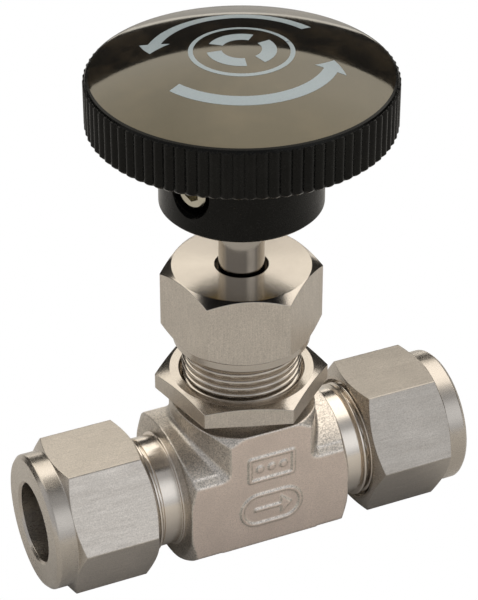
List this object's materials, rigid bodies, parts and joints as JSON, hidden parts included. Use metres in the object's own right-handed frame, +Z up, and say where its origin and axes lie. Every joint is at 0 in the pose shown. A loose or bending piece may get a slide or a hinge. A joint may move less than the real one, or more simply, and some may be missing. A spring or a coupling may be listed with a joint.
{
  "type": "needle valve",
  "caption": "Straight forged needle valve with an integral threaded bonnet, a round domed ribbed knob on a rising stem, a panel nut and ferrule tube ends.",
  "frame": {"origin": "the point where the flow axis crosses the stem axis, inside the body", "axes": "+X along the flow axis towards the right tube end, +Z up the stem axis towards the knob, -Y out of the marked front flat"},
  "size_m": [0.0728, 0.0472, 0.0877],
  "materials": {
    "forged_steel": "shot-blasted forging",
    "turned_steel": "fine brushed grain",
    "polished_steel": "ground and polished",
    "screw_steel": "plain",
    "seal_plastic": "waxy",
    "knob_plastic": "moulded, high gloss on the dome",
    "insert_brass": "turned"
  },
  "bodies": {
    "root": {"body": "forged_steel", "packing_washer": "turned_steel", "packing_bottom_adapter": "seal_plastic", "packing_ring_lower": "seal_plastic", "packing_ring_upper": "seal_plastic", "packing_top_adapter": "seal_plastic"},
    "stem_tip": {"stem_tip": "turned_steel"},
    "handle": {"stem": "polished_steel", "knob": "knob_plastic", "knob_insert": "insert_brass"},
    "set_screw": {"set_screw": "screw_steel"},
    "gland": {"gland": "turned_steel"},
    "packing_nut": {"packing_nut": "turned_steel"},
    "panel_nut": {"panel_nut": "turned_steel"},
    "left_ferrules": {"left_front_ferrule": "turned_steel", "left_back_ferrule": "turned_steel"},
    "left_nut": {"left_nut": "turned_steel"},
    "right_ferrules": {"right_front_ferrule": "turned_steel", "right_back_ferrule": "turned_steel"},
    "right_nut": {"right_nut": "turned_steel"}
  },
  "joints": [
    {"name": "stem_lift", "type": "slide", "parent": "root", "child": "stem_tip", "axis": [0, 0, 1], "range_m": [-0.00635, 0]},
    {"name": "handle_turn", "type": "hinge", "parent": "stem_tip", "child": "handle", "pos_m": [0, 0, 0.01], "axis": [0, 0, 1], "range_deg": [-1800, 0]},
    {"name": "set_screw_back_out", "type": "slide", "parent": "handle", "child": "set_screw", "axis": [-0.891, -0.454, 0], "range_m": [0, 0.0016]},
    {"name": "gland_lift", "type": "slide", "parent": "root", "child": "gland", "axis": [0, 0, 1], "range_m": [-0.00032, 0.00381]},
    {"name": "packing_nut_turn", "type": "hinge", "parent": "gland", "child": "packing_nut", "pos_m": [0, 0, 0.0355], "axis": [0, 0, 1], "range_deg": [-90, 1080]},
    {"name": "panel_nut_travel", "type": "slide", "parent": "root", "child": "panel_nut", "axis": [0, 0, 1], "range_m": [-0.00127, 0.00508]},
    {"name": "left_ferrules_slide", "type": "slide", "parent": "root", "child": "left_ferrules", "axis": [-1, 0, 0], "range_m": [0, 0.00762]},
    {"name": "left_nut_turn", "type": "hinge", "parent": "left_ferrules", "child": "left_nut", "pos_m": [-0.031, 0, 0], "axis": [-1, 0, 0], "range_deg": [0, 2160]},
    {"name": "right_ferrules_slide", "type": "slide", "parent": "root", "child": "right_ferrules", "axis": [1, 0, 0], "range_m": [0, 0.00762]},
    {"name": "right_nut_turn", "type": "hinge", "parent": "right_ferrules", "child": "right_nut", "pos_m": [0.031, 0, 0], "axis": [1, 0, 0], "range_deg": [0, 2160]}
  ],
  "couplings": [
    {"joint": "stem_lift", "follows": "handle_turn", "m_per_rad": 0.00020213},
    {"joint": "gland_lift", "follows": "packing_nut_turn", "m_per_rad": 0.00020213},
    {"joint": "left_ferrules_slide", "follows": "left_nut_turn", "m_per_rad": 0.00020213},
    {"joint": "right_ferrules_slide", "follows": "right_nut_turn", "m_per_rad": 0.00020213}
  ]
}
